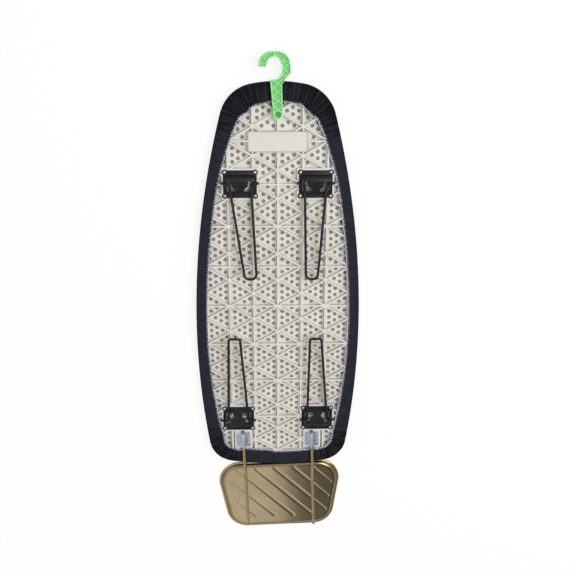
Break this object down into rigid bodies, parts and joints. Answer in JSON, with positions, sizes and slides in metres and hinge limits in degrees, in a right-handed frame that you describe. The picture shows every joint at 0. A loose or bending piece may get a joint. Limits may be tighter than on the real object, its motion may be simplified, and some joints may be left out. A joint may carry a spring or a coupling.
{
  "type": "table-top ironing board",
  "caption": "Folding table-top ironing board: perforated plastic deck under a gathered cloth cover, with folding wire legs, a swivel hanging hook and a slide-out iron rest.",
  "frame": {"origin": "middle of the ironing face, which the folded board lies on", "axes": "+Z out of the underside, +Y along the board towards the hook, +X to the right when looking at the underside with the hook at the top"},
  "size_m": [0.3274, 1.0201, 0.0346],
  "materials": {
    "deck_plastic": "fine-grained moulded, cream",
    "pad_felt": "needle felt, grey",
    "cover_cloth": "plain-weave cotton, near-black navy",
    "elastic_band": "woven elastic, white",
    "hook_plastic": "satin moulded, light green",
    "bracket_paint": "satin black powder coat",
    "leg_paint": "satin black powder coat",
    "rivet_zinc": "bright zinc",
    "sleeve_zinc": "blue-white zinc",
    "rod_yellow_zinc": "yellow passivated zinc",
    "tray_gold": "gold lacquered sheet"
  },
  "bodies": {
    "board": {"deck": "deck_plastic", "pad": "pad_felt", "cover": "cover_cloth", "hem_elastic": "elastic_band", "front_left_bracket": "bracket_paint", "front_right_bracket": "bracket_paint", "rear_left_bracket": "bracket_paint", "rear_right_bracket": "bracket_paint", "front_left_bracket_rivets": "rivet_zinc", "front_right_bracket_rivets": "rivet_zinc", "rear_left_bracket_rivets": "rivet_zinc", "rear_right_bracket_rivets": "rivet_zinc", "left_rod_sleeve": "sleeve_zinc", "right_rod_sleeve": "sleeve_zinc", "left_sleeve_rivets": "rivet_zinc", "right_sleeve_rivets": "rivet_zinc"},
    "front_left_leg": {"front_left_leg": "leg_paint"},
    "front_right_leg": {"front_right_leg": "leg_paint"},
    "rear_left_leg": {"rear_left_leg": "leg_paint"},
    "rear_right_leg": {"rear_right_leg": "leg_paint"},
    "hook": {"hook": "hook_plastic"},
    "iron_rest": {"iron_tray": "tray_gold", "left_tray_rod": "rod_yellow_zinc", "right_tray_rod": "rod_yellow_zinc"}
  },
  "joints": [
    {"name": "front_left_leg_fold", "type": "hinge", "parent": "board", "child": "front_left_leg", "pos_m": [-0.07212, 0.212, 0.0222], "axis": [-1, 0, 0], "range_deg": [0, 100]},
    {"name": "front_right_leg_fold", "type": "hinge", "parent": "board", "child": "front_right_leg", "pos_m": [0.07212, 0.212, 0.0222], "axis": [-1, 0, 0], "range_deg": [0, 100]},
    {"name": "rear_left_leg_fold", "type": "hinge", "parent": "board", "child": "rear_left_leg", "pos_m": [-0.08212, -0.2925, 0.0222], "axis": [1, 0, 0], "range_deg": [0, 100]},
    {"name": "rear_right_leg_fold", "type": "hinge", "parent": "board", "child": "rear_right_leg", "pos_m": [0.08212, -0.2925, 0.0222], "axis": [1, 0, 0], "range_deg": [0, 100]},
    {"name": "hook_swivel", "type": "hinge", "parent": "board", "child": "hook", "pos_m": [0, 0.3415, 0.0243], "axis": [0, 0, 1], "continuous": true},
    {"name": "iron_rest_slide", "type": "slide", "parent": "board", "child": "iron_rest", "axis": [0.0349, -0.9994, 0], "range_m": [0, 0.03]}
  ]
}
